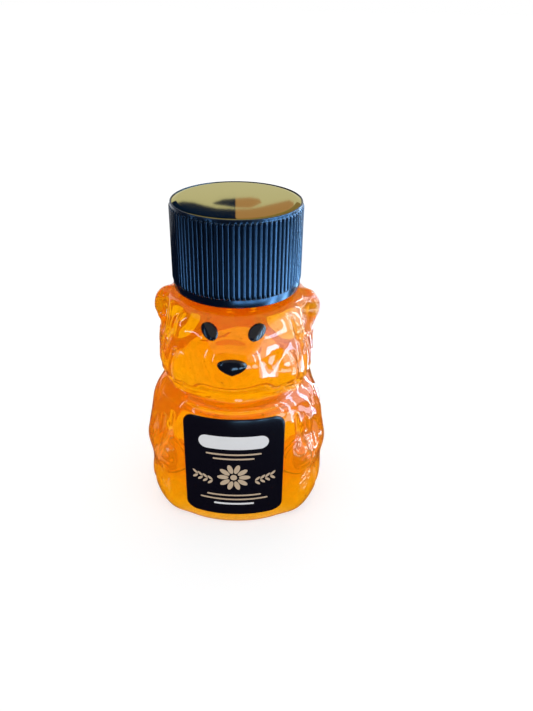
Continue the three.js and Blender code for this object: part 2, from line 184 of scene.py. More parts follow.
def mass_distance(p, centre, radii, powers, back_depth=None):
    """A rounded mass that is a superellipse in plan and in side view."""
    plan_power, side_power = powers
    radii = [np.full(len(p), r) for r in radii]
    if back_depth is not None:
        radii[1] = np.where(p[:, 1] < 0, radii[1], back_depth)
    x, y, z = (np.maximum(np.abs(p[:, i] - centre[i]) / radii[i], 1e-9) for i in range(3))
    plan = x ** plan_power + y ** plan_power
    k = (plan ** (side_power / plan_power) + z ** side_power) ** (1 / side_power)
    plan_slope = plan ** (side_power / plan_power - 1)
    slope = np.sqrt(
        (plan_slope * x ** (plan_power - 1) / radii[0]) ** 2
        + (plan_slope * y ** (plan_power - 1) / radii[1]) ** 2
        + (z ** (side_power - 1) / radii[2]) ** 2
    )
    return (k - 1) / (k ** (1 - side_power) * slope)


def limb_distance(p, start, end, start_radius, end_radius):
    along = end - start
    t = np.clip((p - start) @ along / (along @ along), 0, 1)
    radius = start_radius + t * (end_radius - start_radius)
    return np.linalg.norm(p - start - t[:, None] * along, axis=1) - radius


def on_body(shares):
    return np.array(shares) * BODY_SCALE


def on_head(shares):
    return np.array(shares) * HEAD_SCALE + HEAD_BASE


def window_depth(p):
    """How deep a place is inside the window where the label fits."""
    beside = LABEL_WIDTH / 2 + PANEL_MARGIN - p[:, 0]
    above = LABEL_BASE + LABEL_HEIGHT + PANEL_MARGIN - p[:, 2]
    return np.minimum(beside, above)


def body_distance(p):
    centre = (0, 0, BODY_MIDDLE_SHARE * BODY_HEIGHT)
    radii = (BODY_HALF_WIDTH, BODY_FRONT_DEPTH, BODY_RISE_SHARE * BODY_HEIGHT)
    blend = LIMB_BLEND_SHARE * BODY_HALF_WIDTH
    mass = mass_distance(p, centre, radii, BODY_POWERS, BODY_BACK_DEPTH)
    face = np.where(p[:, 1] < 0, BODY_FRONT_DEPTH, BODY_BACK_DEPTH) - PANEL_INSET
    panel = np.hypot(p[:, 0], np.abs(p[:, 1]) + PANEL_RADIUS - face) - PANEL_RADIUS
    trunk = smooth_max(mass, panel, PANEL_EDGE_RADIUS)
    shoulder_radius, elbow_radius, paw_radius = (share * BODY_HALF_WIDTH for share in LIMB_RADIUS_SHARES)
    shoulder, elbow, paw = on_body(SHOULDER_SHARES), on_body(ELBOW_SHARES), on_body(PAW_SHARES)
    upper_arm = limb_distance(p, shoulder, elbow, shoulder_radius, elbow_radius)
    fore_arm = limb_distance(p, elbow, paw, elbow_radius, paw_radius)
    thigh = mass_distance(p, on_body(THIGH_SHARES[0]), on_body(THIGH_SHARES[1]), ROUND_POWERS)
    foot = mass_distance(p, on_body(FOOT_SHARES[0]), on_body(FOOT_SHARES[1]), ROUND_POWERS)
    limbs = smooth_min(np.minimum(upper_arm, fore_arm), smooth_min(thigh, foot, blend), blend)
    return smooth_min(trunk, smooth_max(limbs, window_depth(p), LABEL_WINDOW_RADIUS), blend)


def head_distance(p):
    centre = (0, 0, BODY_HEIGHT + HEAD_MIDDLE_SHARE * HEAD_HEIGHT)
    radii = (HEAD_HALF_WIDTH, HEAD_FRONT_DEPTH, HEAD_RISE_SHARE * HEAD_HEIGHT)
    blend = HEAD_BLEND_SHARE * HEAD_HALF_WIDTH
    ear_blend = EAR_BLEND_SHARE * HEAD_HALF_WIDTH
    skull = mass_distance(p, centre, radii, HEAD_POWERS, HEAD_BACK_DEPTH)
    jowl = mass_distance(p, on_head(CHEEK_SHARES[0]), CHEEK_SHARES[1] * HEAD_SCALE, ROUND_POWERS)
    snout = mass_distance(p, on_head(MUZZLE_SHARES[0]), MUZZLE_SHARES[1] * HEAD_SCALE, MUZZLE_POWERS)
    lobe = mass_distance(p, on_head(EAR_SHARES[0]), EAR_SHARES[1] * HEAD_SCALE, ROUND_POWERS)
    cup = mass_distance(p, on_head(EAR_CUP_SHARES[0]), EAR_CUP_SHARES[1] * HEAD_SCALE, ROUND_POWERS)
    face = smooth_min(smooth_min(skull, jowl, blend), snout, blend)
    return smooth_max(smooth_min(face, lobe, ear_blend), -cup, ear_blend)


def bear_distance(p):
    q = p.copy()
    q[:, 0] = np.abs(q[:, 0])
    bear = smooth_min(body_distance(q), head_distance(q), CREASE_RADIUS)
    return smooth_max(smooth_max(bear, -q[:, 2], HEEL_RADIUS), q[:, 2] - HEAD_TOP, CROWN_RADIUS)


def reach(starts, rays, level):
    """How far each ray runs inwards before it meets the bear's surface at a level."""
    travelled = np.zeros(len(starts))
    open_ones = np.arange(len(starts))
    for _ in range(SEARCH_STEPS):
        p = starts[open_ones] + travelled[open_ones, None] * rays[open_ones]
        gap = bear_distance(p) - level
        travelled[open_ones] += SEARCH_STEP_SHARE * gap
        travelled = np.minimum(travelled, SEARCH_RADIUS)
        off_surface = np.abs(gap) > SEARCH_TOLERANCE
        open_ones = open_ones[off_surface & (travelled[open_ones] < SEARCH_RADIUS)]
        if not len(open_ones):
            break
    return travelled


def ring_radii(angles, heights, level):
    """The bear's radius on a grid of heights and angles."""
    grid_z, grid_a = np.meshgrid(heights, angles, indexing="ij")
    out = np.stack([np.cos(grid_a), np.sin(grid_a), np.zeros_like(grid_a)], axis=-1).reshape(-1, 3)
    starts = out * SEARCH_RADIUS
    starts[:, 2] = grid_z.ravel()
    return (SEARCH_RADIUS - reach(starts, -out, level)).reshape(grid_z.shape)


def around(count):
    """Angles all the way round, the first one at the front of the bear."""
    return np.arange(count) * 2 * math.pi / count - math.pi / 2


def ring_points(angles, heights, radii):
    """Points on a grid of heights and angles, at the given radii."""
    heights = np.broadcast_to(np.asarray(heights, float)[:, None], radii.shape)
    return np.stack([radii * np.cos(angles), radii * np.sin(angles), heights], axis=-1)


def flat_rings(angles, places):
    """Plain round rings, from radius and height pairs."""
    radii = np.array([[r] * len(angles) for r, _ in places], float)
    return ring_points(angles, [z for _, z in places], radii)


def bear_heights(lowest, highest, counts):
    """Heights up the bear, closer together at the heel, at the crease under the chin and at the crown."""
    ends = [lowest, 2 * HEEL_RADIUS, BODY_HEIGHT - 3 * CREASE_RADIUS, BODY_HEIGHT + 3 * CREASE_RADIUS,
            HEAD_TOP - 3 * CROWN_RADIUS, highest]
    parts = [np.linspace(a, b, n, endpoint=False) for a, b, n in zip(ends, ends[1:], counts)]
    return np.concatenate([*parts, [highest]])


# Objects.

def new_object(name, points, faces, material, sharp=40):
    """A mesh object from points in millimetres. Edges that turn by more than sharp degrees stay sharp."""
    mesh = bpy.data.meshes.new(name)
    mesh.from_pydata((np.asarray(points) * MM).tolist(), [], [list(map(int, f)) for f in faces])
    mesh.polygons.foreach_set("use_smooth", [True] * len(mesh.polygons))
    mesh.set_sharp_from_angle(angle=math.radians(sharp))
    mesh.materials.append(material)
    piece = bpy.data.objects.new(name, mesh)
    bpy.context.scene.collection.objects.link(piece)
    return piece


def loft(rings, tips=None):
    """Points and faces of a closed surface through a grid of rings, with a tip at each end."""
    count, size = rings.shape[:2]
    i, j = np.meshgrid(np.arange(count - 1), np.arange(size), indexing="ij")
    a, b = i * size + j, i * size + (j + 1) % size
    faces = np.stack([a, b, b + size, a + size], axis=-1).reshape(-1, 4).tolist()
    first, last = (rings[0].mean(axis=0), rings[-1].mean(axis=0)) if tips is None else tips
    points = np.concatenate([rings.reshape(-1, 3), [first, last]])
    around_ring = np.arange(size)
    ahead = (around_ring + 1) % size
    top = (count - 1) * size
    faces += [(b, a, count * size) for a, b in zip(around_ring, ahead)]
    faces += [(top + a, top + b, count * size + 1) for a, b in zip(around_ring, ahead)]
    return points, faces


def dress(piece, body, slot, *nodes):
    """The piece rides on a body and stands for its solid nodes."""
    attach(piece, body)
    if nodes:
        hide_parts(*nodes)
    return piece


# Materials.

def principled(name, colour, **values):
    material = bpy.data.materials.new(name)
    material.use_nodes = True
    shader = material.node_tree.nodes["Principled BSDF"]
    shader.inputs["Base Color"].default_value = (*colour, 1)
    for socket, value in values.items():
        shader.inputs[socket.replace("_", " ")].default_value = value
    return material


def clear(name, colour, bend, roughness=0.02):
    """A clear material, with the index by which it bends light."""
    return principled(name, colour, Roughness=roughness, IOR=bend, Transmission_Weight=1.0)


PLASTIC_COLOUR = (1.0, 0.99, 0.98)
DRY_PLASTIC_COLOUR = (0.86, 0.90, 0.92)
# Painted shade: the grey that the dry plastic's colour takes where it is seen edge on.
DRY_PLASTIC_EDGE_SHADE = (0.30, 0.37, 0.43)
PLASTIC_BEND = 1.5
AIR_BEND = 0.67
# Plastic and honey bend light almost alike, so the wall between them hardly shows.
MATCHED_BEND = 1.01

clear_plastic = clear("clear plastic", PLASTIC_COLOUR, PLASTIC_BEND)
wet_plastic = clear("clear plastic against honey", PLASTIC_COLOUR, MATCHED_BEND)


def dry_plastic_material():
    """Clear plastic with air on both sides, with painted shade that greys its colour where it is seen edge
    on.
    """
    material = clear("clear plastic in air", DRY_PLASTIC_COLOUR, PLASTIC_BEND)
    nodes, links = material.node_tree.nodes, material.node_tree.links
    # The facing drives painted shade, which darkens the plastic's colour towards its edges.
    edge = nodes.new("ShaderNodeLayerWeight")
    edge.inputs["Blend"].default_value = 0.5
    edge_shade = nodes.new("ShaderNodeMixRGB")
    edge_shade.inputs["Color1"].default_value = (*DRY_PLASTIC_COLOUR, 1)
    edge_shade.inputs["Color2"].default_value = (*DRY_PLASTIC_EDGE_SHADE, 1)
    links.new(edge.outputs["Facing"], edge_shade.inputs["Fac"])
    links.new(edge_shade.outputs["Color"], nodes["Principled BSDF"].inputs["Base Color"])
    return material


dry_plastic = dry_plastic_material()
black_paint = principled("black paint", (0.006, 0.007, 0.012), Roughness=0.12)
label_film = principled("label film", (0.005, 0.004, 0.008), Roughness=0.2)
label_paper = principled("label paper", (0.85, 0.83, 0.78), Roughness=0.6)
# The blue tint of the black plastic's gloss is painted sheen: it stands for the blue of the light that the
# cap mirrors.
black_plastic = principled("black plastic", (0.0015, 0.0035, 0.010), Roughness=0.24, Specular_IOR_Level=1.0,
                           Specular_Tint=(0.42, 0.68, 1.0, 1.0))
gold_foil = principled("gold foil", (0.335, 0.300, 0.082), Roughness=0.033, Metallic=1.0,
                       Specular_Tint=(1.0, 0.97, 0.8, 1.0))
liner_foam = principled("liner foam", (0.80, 0.78, 0.72), Roughness=0.8)
white_ink = principled("white ink", (0.93, 0.94, 0.96), Roughness=0.4)
tan_ink = principled("tan ink", (0.68, 0.52, 0.36), Roughness=0.4)
air = clear("air in honey", (1.0, 0.97, 0.9), AIR_BEND, roughness=0.0)

# How strongly honey takes red, green and blue out of light, each as a share of its density.
HONEY_ABSORPTION = (0.1, 30.0, 390.0)
HONEY_DENSITY = 400.0
# The cloud at the honey's surface passes light on or throws it back, and it is a little uneven.
CLOUD_SHARE = 0.32
CLOUD_UNEVENNESS = 0.06
PASSED_ON_COLOUR = (1.0, 0.80, 0.004, 1)
THROWN_BACK_COLOUR = (1.0, 0.50, 0.001, 1)
THROWN_BACK_SHARE = 0.8
GRAIN_PER_MM = 0.7
GRAIN_DETAIL = 3.0
GRAIN_RANGE = (0.35, 0.65)


def honey_material():
    """Clear amber that deepens with thickness, with a little cloud at its surface."""
    material = clear("honey", (1, 1, 1), MATCHED_BEND)
    nodes, links = material.node_tree.nodes, material.node_tree.links
    passed_on = nodes.new("ShaderNodeBsdfTranslucent")
    passed_on.inputs["Color"].default_value = PASSED_ON_COLOUR
    thrown_back = nodes.new("ShaderNodeBsdfDiffuse")
    thrown_back.inputs["Color"].default_value = THROWN_BACK_COLOUR

    def mixed(first, second, share):
        mix = nodes.new("ShaderNodeMixShader")
        mix.inputs["Fac"].default_value = share
        links.new(first.outputs[0], mix.inputs[1])
        links.new(second.outputs[0], mix.inputs[2])
        return mix

    cloud = mixed(passed_on, thrown_back, THROWN_BACK_SHARE)
    surface = mixed(nodes["Principled BSDF"], cloud, CLOUD_SHARE)
    grain = nodes.new("ShaderNodeTexNoise")
    grain.inputs["Scale"].default_value = GRAIN_PER_MM / MM
    grain.inputs["Detail"].default_value = GRAIN_DETAIL
    place = nodes.new("ShaderNodeTexCoord")
    links.new(place.outputs["Object"], grain.inputs["Vector"])
    share = nodes.new("ShaderNodeMapRange")
    share.inputs["From Min"].default_value = GRAIN_RANGE[0]
    share.inputs["From Max"].default_value = GRAIN_RANGE[1]
    share.inputs["To Min"].default_value = CLOUD_SHARE - CLOUD_UNEVENNESS
    share.inputs["To Max"].default_value = CLOUD_SHARE + CLOUD_UNEVENNESS
    links.new(grain.outputs["Fac"], share.inputs["Value"])
    links.new(share.outputs["Result"], surface.inputs["Fac"])
    links.new(surface.outputs[0], nodes["Material Output"].inputs["Surface"])
    depth = nodes.new("ShaderNodeVolumeAbsorption")
    depth.inputs["Color"].default_value = (*[1 - a / HONEY_DENSITY for a in HONEY_ABSORPTION], 1)
    depth.inputs["Density"].default_value = HONEY_DENSITY
    links.new(depth.outputs["Volume"], nodes["Material Output"].inputs["Volume"])
    return material


honey_look = honey_material()

# Moulded relief: short strokes of fur pressed into the outside. Each row is the angle round from the
# front in degrees, the height, how many strokes, the steps in angle and height from one to the next,
# half a stroke's length, its lean from upright in degrees, its depth and its half width.
STROKES = (
    (49, 19.4, 3, 0.5, -2.1, 1.0, 58, 0.34, 0.42),
    (54, 12.9, 5, -1.2, -1.2, 1.5, 66, 0.28, 0.34),
    (47, 7.6, 2, 5.5, 0.3, 1.2, 12, 0.34, 0.42),
    (62, 8.6, 3, 9.0, -0.8, 1.6, 14, 0.28, 0.45),
    (66, 29.3, 3, 7.0, -1.1, 1.5, 22, 0.28, 0.38),
    (47, 24.6, 1, 0.0, 0.0, 3.0, -6, 0.34, 0.50),
    (56, 23.2, 2, 8.0, -1.2, 2.4, -12, 0.30, 0.48),
    (78, 21.0, 4, 11.0, 1.2, 2.4, -6, 0.26, 0.50),
    (44, 40.2, 1, 0.0, 0.0, 3.0, -8, 0.34, 0.50),
    (52, 44.6, 2, 8.0, -1.2, 1.5, -16, 0.28, 0.42),
    (61, 41.0, 3, 9.0, -1.8, 1.9, -10, 0.30, 0.45),
    (38, 35.4, 4, 9.0, 0.5, 1.1, -38, 0.28, 0.38),
    (92, 39.5, 4, 12.0, -0.8, 2.1, 4, 0.24, 0.50),
)
# Folds across the chest under the chin. Each row is its height at the middle, how far it rises at the
# sides, how far round it runs in degrees, its depth and its half width.
CHEST_FOLDS = ((32.0, 2.4, 62.0, 0.60, 0.60), (30.1, 1.9, 58.0, 0.42, 0.50), (34.6, 1.5, 48.0, 0.25, 0.45))
# A stroke is worked out only for places within this turn of it, in radians.
STROKE_REACH = 0.5
# The waves in the blown wall: how many, how high, and the most radians that one turns in a millimetre.
WAVE_COUNT = 14
WAVE_HEIGHT = 0.09
WAVE_TURN = 0.85
# Scattered fur. Each row is how many strokes, the lowest and the highest, the angles between which they
# lie, and the least and the most of half a stroke's length, its lean, its depth and its half width.
FUR_BANDS = (
    (70, (3.6, 27.0), (50, 174), (0.8, 2.2), (-26, 14), (0.20, 0.36), (0.34, 0.50)),
    (44, (35.5, 48.5), (46, 174), (1.4, 3.4), (-16, 8), (0.20, 0.36), (0.40, 0.62)),
)


def fur_strokes():
    """Short strokes scattered over the sides and the back, on the body and on the head."""
    rows = []
    for count, heights, turns, halves, leans, depths, widths in FUR_BANDS:
        for _ in range(count):
            angle, height, half, lean, depth, width = (
                random.uniform(*ends) for ends in (turns, heights, halves, leans, depths, widths))
            rows.append((angle, height, 1, 0, 0, half, lean, depth, width))
    return rows


FUR = fur_strokes()


def stroke_ends():
    """The two ends of every stroke, as angle in radians and height, with its depth and half width."""
    for angle, height, count, angle_step, height_step, half, lean, depth, width in (*STROKES, *FUR):
        for i in range(count):
            a, z = math.radians(angle + i * angle_step), height + i * height_step
            sideways, upwards = half * math.sin(math.radians(lean)), half * math.cos(math.radians(lean))
            for side in (-1, 1):
                yield side, a, z, sideways, upwards, depth, width


def relief(points):
    """How far the mould's fine relief moves each point of the outside inwards."""
    depth = np.zeros(len(points))
    radius = np.hypot(points[:, 0], points[:, 1])
    angle = np.arctan2(points[:, 0], -points[:, 1])
    for side, a, z, sideways, upwards, deep, width in stroke_ends():
        across = side * radius * (angle - side * a)
        up = points[:, 2] - z
        length_squared = sideways ** 2 + upwards ** 2
        t = np.clip((across * sideways + up * upwards) / length_squared, -1, 1)
        gap_squared = (across - t * sideways) ** 2 + (up - t * upwards) ** 2
        near = (np.abs(angle - side * a) < STROKE_REACH) & (gap_squared < 9 * width ** 2)
        depth += np.where(near, deep * np.exp(-gap_squared / width ** 2), 0)
    for height, rise, turned_by, deep, width in CHEST_FOLDS:
        turn = np.degrees(np.abs(angle)) / turned_by
        off = points[:, 2] - height - rise * turn ** 2
        depth += np.where(turn < 1, deep * (1 - turn ** 2) * np.exp(-(off / width) ** 2), 0)
    return depth


waves = [(random.uniform(-WAVE_TURN, WAVE_TURN, 3), random.uniform(0, 2 * math.pi))
         for _ in range(WAVE_COUNT)]


def waviness(points):
    """The slight unevenness of a blown wall."""
    return WAVE_HEIGHT * sum(np.sin(points @ k + phase) for k, phase in waves) / math.sqrt(WAVE_COUNT)


def thread_radii(angles, heights, root, crest, carrier_wall, middle):
    """Radii of a wall with a helical ridge on it, on a grid of heights and angles."""
    outwards = math.copysign(1, crest - root)
    sunk = root - outwards * carrier_wall / 2
    height = np.asarray(heights)[:, None]
    turn = (np.asarray(angles) % (2 * math.pi)) / (2 * math.pi)
    ridge = np.zeros((len(heights), len(angles)))
    for whole in range(math.ceil(THREAD_TURNS)):
        t = turn + whole
        off = np.abs(height - middle - THREAD_PITCH * (t - THREAD_TURNS / 2))
        slope = (THREAD_ROOT_WIDTH - THREAD_CREST_WIDTH) / 2
        shape = np.clip((THREAD_ROOT_WIDTH / 2 - off) / slope, 0, 1)
        fullness = np.clip(np.minimum(t, THREAD_TURNS - t) * THREAD_END_RISE, 0, 1)
        ridge = np.maximum(ridge, shape * fullness)
    ridged = sunk + (crest - sunk) * ridge
    return np.maximum(root, ridged) if outwards > 0 else np.minimum(root, ridged)


# The pieces that the bottle is made of.

ROUND_COUNT = 384 if FINE else 160
NECK_RING_COUNT = 120 if FINE else 48
SKIN_COUNTS = (10, 120, 42, 130, 20) if FINE else (5, 40, 14, 46, 8)
HONEY_COUNTS = (8, 70, 26, 76, 12) if FINE else (4, 30, 12, 36, 6)
BORE_RING_COUNT = 12
LABEL_RING_COUNT = 30

# How far inside the bear's outside the honey is shown.
HONEY_INSET = 0.25
# Where the bottle's wall passes from one run of rings to the next, and how its lip is rounded.
NECK_SEAM = 0.05
LIP_ROLL = 0.3
LIP_ROLL_MIDDLE = 0.08
HEAD_SHOULDER = BODY_HEIGHT + HEAD_HEIGHT / 2
# How far the smooth panel reaches past the label, and over what distance the fur and waves begin.
CALM_BESIDE = 1.4
CALM_ABOVE = 0.8
CALM_FADE = 1.2
LIVELY_FADE = 2
# The innermost ring of a thin piece, how its rings crowd at the rim, and how far the rim bulges.
CENTRE_SHARE = 0.04
RIM_CROWDING = 1.6
RIM_BULGE = 0.25


def kept_open(heights, radii, above, least):
    """The radii, but no smaller than least where the height is above a level."""
    return np.where(np.asarray(heights)[:, None] > above, np.maximum(radii, least), radii)


def window_share(p):
    """1 where the label's panel is, falling to 0 beside it."""
    beside = LABEL_WIDTH / 2 + CALM_BESIDE - np.abs(p[:, 0])
    above = LABEL_BASE + LABEL_HEIGHT + CALM_ABOVE - p[:, 2]
    return np.where(p[:, 1] < 0, np.clip(np.minimum(beside, above) / CALM_FADE, 0, 1), 0)


def bear_outside(angles):
    """Rings of the bear's outside, with its fur, its folds and its waves."""
    heights = bear_heights(0, HEAD_TOP, SKIN_COUNTS)
    radii = ring_radii(angles, heights, 0)
    places = ring_points(angles, heights, radii).reshape(-1, 3)
    free = 1 - np.clip(window_share(places), 0, 1)
    outwards = (waviness(places) - relief(places)) * free
    from_ends = np.minimum(places[:, 2] - HEEL_RADIUS, HEAD_TOP - CROWN_RADIUS - places[:, 2])
    lively = np.clip(from_ends / LIVELY_FADE, 0, 1)
    radii = radii + (outwards * lively).reshape(radii.shape)
    return ring_points(angles, heights, kept_open(heights, radii, BODY_HEIGHT, NECK_RADIUS))


def neck_wall(angles):
    """Rings up the neck with its thread, over its lip and down its bore."""
    heights = np.linspace(HEAD_TOP + NECK_SEAM, NECK_TOP - LIP_ROLL, NECK_RING_COUNT)
    radii = thread_radii(angles, heights, NECK_RADIUS, THREAD_RADIUS, NECK_WALL, THREAD_MIDDLE)
    lip = flat_rings(angles, [
        (NECK_RADIUS - LIP_ROLL_MIDDLE, NECK_TOP - LIP_ROLL_MIDDLE),
        (NECK_RADIUS - LIP_ROLL, NECK_TOP),
        (NECK_BORE_RADIUS + LIP_ROLL, NECK_TOP),
        (NECK_BORE_RADIUS + LIP_ROLL_MIDDLE, NECK_TOP - LIP_ROLL_MIDDLE),
    ])
    down = np.linspace(NECK_TOP - LIP_ROLL, HEAD_TOP - WALL + 2 * NECK_SEAM, BORE_RING_COUNT)
    bore = flat_rings(angles, [(NECK_BORE_RADIUS, z) for z in down])
    return np.concatenate([ring_points(angles, heights, radii), lip, bore])


def bottle_skin():
    """The clear moulding: outside, neck with its thread, bore and the inside down to the floor."""
    angles = around(ROUND_COUNT)
    outside = bear_outside(angles)
    neck = neck_wall(angles)
    down = bear_heights(FLOOR_THICKNESS, HEAD_TOP - WALL, HONEY_COUNTS)[::-1]
    inner = kept_open(down, ring_radii(angles, down, -WALL), HEAD_SHOULDER, NECK_BORE_RADIUS)
    inside = ring_points(angles, down, inner)
    rings = np.concatenate([outside, neck, inside])
    piece = new_object("bottle_skin", *loft(rings), clear_plastic)
    piece.data.materials.append(dry_plastic)
    piece.data.materials.append(wet_plastic)
    dry_from = len(outside) * len(angles)
    wet_from = (len(rings) - len(inside)) * len(angles)
    finishes = [int(i >= dry_from) + int(i >= wet_from) for i in range(len(piece.data.polygons))]
    piece.data.polygons.foreach_set("material_index", finishes)
    return dress(piece, "bottle", "clear_plastic", "bottle_shell")


def honey():
    """The honey, which reaches well into the wall, as honey seems to when it is seen through plastic."""
    angles = around(ROUND_COUNT // 2)
    highest = HEAD_TOP - WALL / 2
    heights = bear_heights(HONEY_INSET, highest, HONEY_COUNTS)
    radii = ring_radii(angles, heights, -HONEY_INSET)
    bulk = ring_points(angles, heights, kept_open(heights, radii, HEAD_SHOULDER, NECK_BORE_RADIUS + 0.4))
    level = NECK_TOP - HONEY_HEADSPACE
    radius = NECK_BORE_RADIUS + 0.1
    top = flat_rings(angles, [(radius, highest + 0.05), (radius, level + 0.5), (radius - 0.35, level + 0.2),
                              (radius - 0.9, level), (4, level), (1, level)])
    piece = new_object("honey_body", *loft(np.concatenate([bulk, top])), honey_look)
    return dress(piece, "bottle", "honey", "honey_fill")


BUBBLE_COUNT = 150
BUBBLE_RADII = (0.07, 0.22)
BUBBLE_DEPTH = 0.6


def honey_bubbles():
    """Small bubbles of air that have stuck near the wall."""
    ball = bmesh.new()
    bmesh.ops.create_icosphere(ball, subdivisions=2, radius=1)
    ball_points = np.array([v.co for v in ball.verts])
    ball_faces = np.array([[v.index for v in f.verts] for f in ball.faces])
    ball.free()
    angles = random.uniform(-math.pi, math.pi, BUBBLE_COUNT)
    heights = random.uniform(FLOOR_THICKNESS + 2, HEAD_TOP - 4, BUBBLE_COUNT)
    points, faces = [], []
    for i, (angle, height) in enumerate(zip(angles, heights)):
        size = random.uniform(*BUBBLE_RADII)
        wall_radius = ring_radii(np.array([angle]), np.array([height]), -WALL)[0, 0]
        radius = wall_radius - size - random.exponential(BUBBLE_DEPTH)
        middle = np.array([radius * math.cos(angle), radius * math.sin(angle), height])
        points.append(ball_points * size + middle)
        faces.append(ball_faces + i * len(ball_points))
    piece = new_object("honey_bubbles", np.concatenate(points), np.concatenate(faces), air)
    return dress(piece, "bottle", "honey")


def front_places(across, up):
    """Places on the bear's front at distances across and heights, and the outward directions there."""
    starts = np.stack([across, np.full_like(across, -SEARCH_RADIUS), up], axis=-1)
    places = starts.copy()
    places[:, 1] += reach(starts, np.tile([0.0, 1.0, 0.0], (len(starts), 1)), 0)
    feelers = FEELER_LENGTH * np.eye(3)
    slopes = np.stack([bear_distance(places + f) - bear_distance(places - f) for f in feelers], axis=-1)
    return places, slopes / np.linalg.norm(slopes, axis=1)[:, None]


def front_piece(name, middle, edge, thickness, dome, material, gap=FILM_GAP, ring_count=12):
    """A thin domed piece on the front of the bear, with a rounded rim. Its rings crowd at the rim."""
    edge = np.asarray(edge)
    shares = 1 - (1 - np.linspace(CENTRE_SHARE, 1, ring_count)) ** RIM_CROWDING

    def ring(share, lift):
        places, normals = front_places(middle[0] + edge[:, 0] * share, middle[1] + edge[:, 1] * share)
        return places + normals * lift

    back = [ring(share, gap) for share in shares]
    front = [ring(share, gap + thickness + dome * math.sqrt(1 - share ** 2)) for share in shares[::-1]]
    rim = ring(1 + RIM_BULGE * thickness, gap + thickness / 2)
    return new_object(name, *loft(np.stack([*back, rim, *front])), material, sharp=60)


def leaning_oval(side):
    """An eye's outline, which leans in towards the nose and is flattened by the forehead's slope."""
    angles = around(72)
    across, up = EYE_HALF_WIDTH * np.cos(angles), EYE_HALF_HEIGHT * np.sin(angles)
    lean = side * EYE_LEAN
    rise = up * math.cos(lean) - across * math.sin(lean)
    return np.stack([across * math.cos(lean) + up * math.sin(lean), FOREHEAD_LEAN_SHARE * rise], axis=-1)


def nose_outline():
    """An oval whose lower half is drawn in to a blunt point."""
    angles = around(96)
    across, up = np.cos(angles), np.sin(angles)
    drawn_in = np.sign(across) * np.abs(across) ** NOSE_POINT_POWER
    return np.stack([NOSE_HALF_WIDTH * np.where(up < 0, drawn_in, across),
                     np.where(up < 0, NOSE_DROP, NOSE_RISE) * up], axis=-1)


def rounded_outline(width, height, radius, corner_steps=10, side_steps=12):
    """A rectangle with round corners about its own middle."""
    across, up = width / 2 - radius, height / 2 - radius
    middles = np.array([(across, up), (-across, up), (-across, -up), (across, -up)])
    points = []
    for corner, middle in enumerate(middles):
        turn, end = corner * math.pi / 2, corner * math.pi / 2 + math.pi / 2
        for a in np.linspace(turn, end, corner_steps):
            points.append(middle + radius * np.array([math.cos(a), math.sin(a)]))
        start = points[-1]
        stop = middles[(corner + 1) % 4] + radius * np.array([math.cos(end), math.sin(end)])
        points += [start + (stop - start) * t for t in np.linspace(0, 1, side_steps + 1)[1:-1]]
    return np.array(points)


def eyes():
    for side, word in ((1, "left"), (-1, "right")):
        middle = (side * EYE_SHARES[0] * HEAD_HALF_WIDTH, BODY_HEIGHT + EYE_SHARES[1] * HEAD_HEIGHT)
        outline = leaning_oval(side)
        eye = front_piece(f"eye_dark_{word}", middle, outline, PAINT_THICKNESS, EYE_DOME, black_paint)
        dress(eye, "bottle", "black_paint", f"eye_{word}")


def nose():
    middle = (0, BODY_HEIGHT + NOSE_HEIGHT_SHARE * HEAD_HEIGHT)
    dark = front_piece("nose_dark", middle, nose_outline(), PAINT_THICKNESS, NOSE_DOME, black_paint)
    dress(dark, "bottle", "black_paint", "nose")


def label():
    """The label's sheet, a dark film in front and paper behind, which shows through the honey."""
    edge = rounded_outline(LABEL_WIDTH, LABEL_HEIGHT, LABEL_CORNER_RADIUS, 12, LABEL_RING_COUNT)
    sheet = front_piece("label_sheet", LABEL_MIDDLE, edge, LABEL_THICKNESS, 0, label_film,
                        ring_count=LABEL_RING_COUNT)
    sheet.data.materials.append(label_paper)
    behind = range((LABEL_RING_COUNT - 1) * len(edge))
    middle_behind = range(2 * LABEL_RING_COUNT * len(edge), (2 * LABEL_RING_COUNT + 1) * len(edge))
    finishes = [int(i in behind or i in middle_behind) for i in range(len(sheet.data.polygons))]
    sheet.data.polygons.foreach_set("material_index", finishes)
    dress(sheet, "bottle", "label_film", "label")


# The label's print, drawn about the label's middle: bars, rules and a daisy between two sprigs.

PRINT_THICKNESS = 0.012
PRINT_LIFT = FILM_GAP + LABEL_THICKNESS + PRINT_THICKNESS
PRINT_RING_STEP = 1.2
# Each bar and rule is its width, its thickness and its height.
WHITE_BARS = ((15, 3.4, 7.2), (9, 0.5, -9.9))
TAN_RULES = ((12, 0.42, 4.1), (9, 0.42, 2.9), (12, 0.42, -7.4), (15, 0.42, -8.6))
DAISY_HEIGHT = -2.2
DAISY_PETALS = 10
DAISY_HEART_RADIUS = 0.75
LEAF_PAIRS = 4
LEAF_LEAN = 0.75


def petal(length, width, turn, start, pointed=1.0):
    """A leaf or petal that starts at a distance from the middle and points along a turn."""
    angles = around(28)
    along = start + length / 2 + length / 2 * np.cos(angles)
    aside = width / 2 * np.sign(np.sin(angles)) * np.abs(np.sin(angles)) ** pointed
    across = along * math.cos(turn) - aside * math.sin(turn)
    up = along * math.sin(turn) + aside * math.cos(turn)
    return np.stack([across, up], axis=-1)


